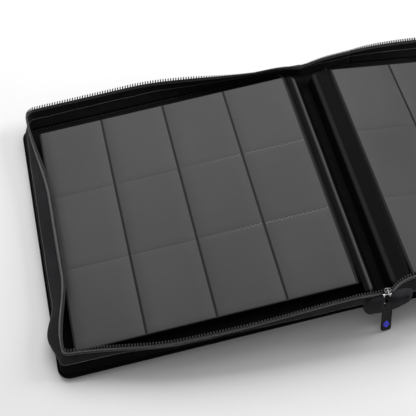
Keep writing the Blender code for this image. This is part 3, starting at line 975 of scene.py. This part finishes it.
def lug_ring(end, share, shape):
    """One section of a lug, with its soft creases, at a share of the way along it."""
    x = mix(*shape["span"], share)
    fullness = math.sqrt(max(0.0, 1 - abs(2 * share - 1) ** shape["squareness"]))
    inner = COVER_LENGTH / 2 - LUG_OVERLAP
    outer = COVER_LENGTH / 2 + 0.0004 + lug_depth(x, shape["lobes"])
    low = mix(*shape["bottoms"], smooth((x + 0.006) / 0.028)) + 0.006 * (1 - fullness)
    middle_z, half_z = (shape["top"] + low) / 2, (shape["top"] - low) / 2 * (0.25 + 0.75 * fullness)
    middle_y, half_y = (outer + inner) / 2, (outer - inner) / 2 * (0.35 + 0.65 * fullness)
    ring = []
    for k in range(LUG_RING_POINTS):
        angle = 2 * math.pi * k / LUG_RING_POINTS
        c, d = math.cos(angle), math.sin(angle)
        y = middle_y + half_y * rounded_power(c)
        z = middle_z + half_z * rounded_power(d) - shape["slope"] * (y - middle_y)
        crease = noise.noise(Vector((x * 150, z * 40, end * 3.0)))
        fold = noise.noise(Vector((x * 50, z * 150, end * 7.0)))
        y += (0.0009 * crease + 0.0006 * fold) * max(0.0, c)
        ring.append(Vector((x, end * y, z)))
    return ring


def make_lug(end, end_label, material):
    """The unsplit gusset at an end of the spine: soft lobes that hang below the zip."""
    shape = LUG_SHAPES[end_label]
    verts = []
    for i in range(LUG_RINGS):
        verts += lug_ring(end, i / (LUG_RINGS - 1), shape)
    faces = closed_faces(LUG_RINGS, LUG_RING_POINTS)
    lug = mesh_piece(f"{end_label}_lug_cloth", verts, faces, material)
    attach(lug, "spine", "gusset_fabric", f"{end_label}_spine_gusset")


# ---- gutter


def gutter_level(x):
    """Height of the pages' top surface, carried on towards the middle of the spine."""
    top = from_cover(1, 0, 0, PAGE_TOP)
    return top.z + (top.x - x) * math.tan(TILT)


def bundle_section(ridge, foot):
    """Points (x, z) over a bundle, from the pages over its soft ridge to its foot on the spine."""
    section = []
    for i in range(9):
        x = mix(BUNDLE_OUTER, ridge + 0.0040, i / 8)
        section.append((x, gutter_level(x) - 0.0004))
    crest = gutter_level(ridge) - 0.0002
    radius = 0.0042
    for i in range(1, 13):
        angle = math.radians(72) * i / 12
        x = ridge + 0.0020 - radius * 1.25 * math.sin(angle)
        section.append((x, crest - radius * (1 - math.cos(angle))))
    last_x, last_z = section[-1]
    floor_z = SPINE_TOP + 0.0004
    for i in range(1, 15):
        share = i / 14
        z = mix(last_z, floor_z, 1 - (1 - share) ** 1.25)
        section.append((mix(last_x, foot, share**0.8), z))
    return section


def bundle_stations():
    """Places along a bundle, closer together where its two ends are rounded."""
    ends = (0.0, 0.0004, 0.0012, 0.0025, 0.0040, BUNDLE_ROUNDING)
    near, far = BUNDLE_NEAR + BUNDLE_ROUNDING, BUNDLE_FAR - BUNDLE_ROUNDING
    stations = [BUNDLE_NEAR + step for step in ends]
    stations += [mix(near, far, i / 24) for i in range(1, 24)]
    return stations + [BUNDLE_FAR - step for step in ends[::-1]]


def make_bundle(side, label, ridge, foot, bend_end, material):
    """The bundle of bound page margins, whose flat top rolls over a ridge into the spine's channel."""
    section = bundle_section(ridge, foot)
    rows = []
    for y in bundle_stations():
        gone = max(0.0, 1 - min(y - BUNDLE_NEAR, BUNDLE_FAR - y) / BUNDLE_ROUNDING)
        shrink = 1 - 0.62 * (1 - math.sqrt(max(0.0, 1 - gone * gone)))
        wave = 0.0004 * noise.noise(Vector((y * 18, side * 2.0, 0)))
        row = []
        for x, z in section:
            inward = (BUNDLE_OUTER - x) * shrink
            shifted = BUNDLE_OUTER - inward + wave * smooth(inward / 0.003)
            row.append(Vector((side * shifted, y, z)))
        rows.append(row)
    bundle = cloth_sheet(f"{label}_margin_bundle", rows, 0.0006, material)
    start, end = (Vector((side * x, 0, BUNDLE_BEND_Z)) for x in (foot, bend_end))
    flex(bundle, "spine", f"{label}_cover", start, end, "page_margin", f"{label}_binding")


# ---- pages


def page_levels(depth):
    """(top, bottom) of a page's core above its cover's underside, its depth counted from the top."""
    if depth == 0:
        return 0.0144, 0.0140
    top = PAGE_TOP - 0.00025 - PAGE_PITCH * depth
    return top, top - PAGE_THICKNESS


def pocket_places(column):
    """Where a film strip's points lie: out across the column, and y along all its rows."""
    low = POCKETS_START + column * POCKET_WIDTH + POCKET_SLIT / 2
    high = low + POCKET_WIDTH - POCKET_SLIT
    across = [low, low + FILM_EDGE, mix(low, high, 0.2), mix(low, high, 0.5), mix(low, high, 0.8)]
    across += [high - FILM_EDGE, high]
    steps = (0.0, 0.0006, 0.0014, 0.008, 0.030, 0.048, 0.066, 0.088, 0.0946, 0.0954)
    along = []
    for row in range(POCKET_ROWS):
        start = (row - POCKET_ROWS / 2) * POCKET_HEIGHT
        along += [start + step for step in steps]
    return across, along + [POCKET_ROWS / 2 * POCKET_HEIGHT]


def film_rise(out, y, low, high, film, surface):
    """How far the film stands off its core: thin at its edges and welds, faintly domed between."""
    share = (y / POCKET_HEIGHT + POCKET_ROWS / 2) % 1.0
    weld = min(share, 1 - share) * POCKET_HEIGHT
    rim = min(out - low, high - out)
    rise = film.height * (0.35 + 0.65 * smooth(rim / FILM_EDGE))
    rise *= 0.55 + 0.45 * smooth(weld / 0.0012)
    swell = film.dome * smooth(rim / 0.02) * smooth(weld / 0.02)
    swell *= 1 + 0.6 * noise.noise(Vector((out * 30, y * 30, surface * 900)))
    return rise + swell


def weld_dot_places(across):
    """Places (out, y) of the dots in two staggered lines along each weld between a strip's rows."""
    count = 26
    places = []
    for row in range(1, POCKET_ROWS):
        y = (row - POCKET_ROWS / 2) * POCKET_HEIGHT
        for i in range(count):
            out = mix(across[1], across[-2], (i + 0.5) / count)
            places.append((out, y + 0.0007 * (-1) ** i))
    return places


def pocket_face(side, surface, facing, film):
    """Points, faces and material slots of the film strips and weld dots on one face of a page."""
    verts, faces, dots = [], [], []
    for column in range(POCKET_COLUMNS):
        across, along = pocket_places(column)
        start = len(verts)
        for y in along:
            for out in across:
                lift = film_rise(out, y, across[0], across[-1], film, surface)
                verts.append(from_cover(side, out, y, surface + facing * lift))
        faces += grid_faces(len(along), len(across), start)
        dots += weld_dot_places(across)
    slots = [0] * len(faces)
    base = surface + facing * film.height * 0.5
    for out, y in dots:
        start = len(verts)
        for a, b in ((-1, -1), (1, -1), (1, 1), (-1, 1)):
            verts.append(from_cover(side, out + a * 0.00075, y + b * 0.00055, base))
        verts.append(from_cover(side, out, y, base + facing * film.dot_height))
        faces += [(start + k, start + (k + 1) % 4, start + 4) for k in range(4)]
        slots += [1] * 4
    return verts, faces, slots


def make_pockets(number, side, depth):
    """The film pockets on both faces of a page."""
    top, bottom = page_levels(depth)
    is_top = depth == 0
    verts, faces, slots = [], [], []
    for surface, facing in ((top, 1), (bottom, -1)):
        film = TOP_FILM if is_top and facing > 0 else INNER_FILM
        more, more_faces, more_slots = pocket_face(side, surface, facing, film)
        shift = len(verts)
        verts += more
        faces += [tuple(k + shift for k in face) for face in more_faces]
        slots += more_slots
    piece = mesh_piece(f"page_{number:02d}_film", verts, faces, FILM)
    piece.data.materials.append(WELD)
    for face, slot in zip(piece.data.polygons, slots):
        face.material_index = slot
    shown = [f"page_{number:02d}_pockets_{c + 1}" for c in range(POCKET_COLUMNS)] if is_top else []
    attach(piece, f"page_{number:02d}_leaf", "pocket_film", *shown)


def make_margin(number, side, depth, parent):
    """The short flexible margin between a page and what it lies on."""
    up = sum(page_levels(depth)) / 2
    start, end = (from_cover(side, out, 0, up) for out in (-0.0002, 0.0033))
    rows = []
    for j in range(13):
        shift = Vector((0, mix(-PAGE_HALF, PAGE_HALF, j / 12), 0))
        rows.append([mix(start, end, i / 20) + shift for i in range(21)])
    strip = cloth_sheet(f"page_{number:02d}_margin", rows, 0.00025, MARGIN)
    flex(strip, parent, f"page_{number:02d}_leaf", start, end, "page_margin")


def make_pages(side, label):
    parent = f"{label}_cover"
    for level in range(PAGES_PER_SIDE):
        number = level + 1 if side < 0 else 2 * PAGES_PER_SIDE - level
        depth = PAGES_PER_SIDE - 1 - level
        make_pockets(number, side, depth)
        make_margin(number, side, depth, parent)
        parent = f"page_{number:02d}_leaf"


# ---- slider and pull


def rounded_outline(width, height, radius, steps=5):
    """Points of a rounded rectangle round the origin."""
    points = []
    corners = ((1, -1, -90), (1, 1, 0), (-1, 1, 90), (-1, -1, 180))
    for a, b, turn in corners:
        for i in range(steps + 1):
            angle = math.radians(turn + 90 * i / steps)
            x = a * (width / 2 - radius) + radius * math.cos(angle)
            points.append((x, b * (height / 2 - radius) + radius * math.sin(angle)))
    return points


def layered_plate(name, layers, material):
    """A closed plate in X and Z, through outlines (width, height, radius, depth)."""
    verts = []
    for width, height, radius, depth in layers:
        verts += [Vector((x, depth, z)) for x, z in rounded_outline(width, height, radius)]
    return mesh_piece(name, verts, closed_faces(len(layers), len(verts) // len(layers)), material)


def join(name, pieces):
    """Joins pieces of one material each into one mesh, in their world places."""
    bpy.context.view_layer.update()
    bm = bmesh.new()
    materials = []
    for piece in pieces:
        material = piece.data.materials[0]
        if material not in materials:
            materials.append(material)
        piece.data.transform(piece.matrix_world)
        for face in piece.data.polygons:
            face.material_index = materials.index(material)
        bm.from_mesh(piece.data)
        bpy.data.objects.remove(piece)
    mesh = bpy.data.meshes.new(name)
    bm.to_mesh(mesh)
    bm.free()
    for material in materials:
        mesh.materials.append(material)
    return add_object(name, mesh)


def make_slider():
    """Two curved plates on a wedge, with side flanges and the bridge that holds the bail."""
    base_z, top_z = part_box("zip_slider")[0][2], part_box("zip_slider")[1][2]
    height = top_z - base_z
    parts = []
    for depth in (0.0, 0.0030):
        layers = (
            (0.0062, height - 0.0010, 0.0014, depth),
            (0.0072, height - 0.0002, 0.0018, depth + 0.00035),
            (0.0074, height, 0.0018, depth + 0.0009),
            (0.0066, height - 0.0008, 0.0014, depth + 0.0012),
        )
        parts.append(layered_plate("slider_plate", layers, DARK_METAL))
    bars = ((0.0, 0.0024, 0.001, 0.001, 0.001, 0.0032),)
    bars += tuple((hand * 0.0032, 0.0008, 0.0022, 0.0003, 0.0009, 0.0034) for hand in (-1, 1))
    for x, width, short, radius, start, end in bars:
        layers = [(width, height - short, radius, depth) for depth in (start, end)]
        bar = layered_plate("slider_bar", layers, DARK_METAL)
        bar.location.x = x
        parts.append(bar)
    arch = []
    for i in range(13):
        angle = math.pi * i / 12
        arch.append(Vector((0, -0.0022 * math.sin(angle) ** 0.7 + 0.0004, 0.0022 * math.cos(angle))))
    parts.append(tube("slider_bridge", arch, 0.0006, METAL))
    slider = join("slider_body", parts)
    slider.location = (PULL_X, SLIDER_FRONT, (base_z + top_z) / 2)
    attach(slider, "slider", "slider_metal", "zip_slider")


def make_bail():
    """A wire loop with a short cross-head at the top of each arm."""
    width = 0.0062
    outline = rounded_outline(width, BAIL_LENGTH, 0.0009, steps=4)
    loop = [Vector((x, 0, z - BAIL_LENGTH / 2)) for x, z in outline]
    parts = [tube("bail_wire", loop, 0.00055, METAL, cyclic=True, sides=12)]
    for arm_x in (-width / 2, width / 2):
        head = [Vector((arm_x + step, 0, -0.0001)) for step in (-0.0013, -0.0011, 0.0011, 0.0013)]
        parts.append(tube("bail_head", head, 0.00085, METAL, sides=12))
    bail = join("bail_wire_loop", parts)
    bail.location = PULL_PIVOT - Vector((0.0012, 0, 0))
    bail.rotation_euler = (-PULL_SLOPE, 0, 0)
    attach(bail, "bail", "slider_metal", "pull_bail")


def make_tab_mark(hand):
    """One half of the lozenge: a low three-cornered plate that points up or down."""
    corners = [(0.0, 0.0052), (0.0036, 0.0004), (-0.0036, 0.0004)]
    verts = [Vector((x, depth, hand * z)) for depth in (-0.0008, -0.00105) for x, z in corners]
    faces = [(0, 1, 2), (5, 4, 3), (0, 3, 4, 1), (1, 4, 5, 2), (2, 5, 3, 0)]
    mark = mesh_piece("tab_mark", verts, faces, MARK, smooth_faces=False)
    mark.location.z = -0.0295
    return mark


def make_tab():
    """A moulded tab with a raised rim and a plain two-part lozenge on its lower third."""
    length, width = 0.0355, 0.0105
    steps = [(0.0030, 0.0014, -0.00085)]
    steps += [(inset, radius, -depth) for inset, radius, depth in TAB_EDGE]
    steps += [(inset, radius, depth) for inset, radius, depth in TAB_EDGE[::-1]]
    layers = [(width - inset, length - inset, radius, depth) for inset, radius, depth in steps]
    plate = layered_plate("tab_plate", layers, RUBBER)
    plate.location.z = -0.003 - length / 2
    neck = layered_plate("tab_neck", TAB_NECK, RUBBER)
    neck.location.z = -0.0016
    tab = join("tab_moulding", [plate, neck, make_tab_mark(-1), make_tab_mark(1)])
    down = Vector((0, -math.sin(PULL_SLOPE), -math.cos(PULL_SLOPE)))
    tab.location = PULL_PIVOT + down * BAIL_LENGTH
    tab.rotation_euler = (-PULL_SLOPE, 0, 0)
    attach(tab, "tab", "pull_rubber", "pull_tab")


make_camera()
make_floor()
make_lights()
finish_flat_pieces()
for side_label, side_sign in SIDES:
    make_cover_shell(side_sign, side_label)
    make_cover_stitches(side_sign, side_label)
    make_hinge(side_sign, side_label)
    make_wall(side_sign, side_label)
    make_pages(side_sign, side_label)
    for end_label, end_sign in ENDS:
        make_wing(side_sign, side_label, end_sign, end_label)
make_bundle(-1, "front", 0.0190, 0.0090, 0.0244, FRONT_MARGIN)
make_bundle(1, "back", 0.0068, 0.0010, 0.0249, BACK_MARGIN)
make_lug(-1, "near", GUSSET)
# The far lug takes the darker copy of the gusset fabric as painted shade
make_lug(1, "far", SHADED_GUSSET)
make_slider()
make_bail()
make_tab()
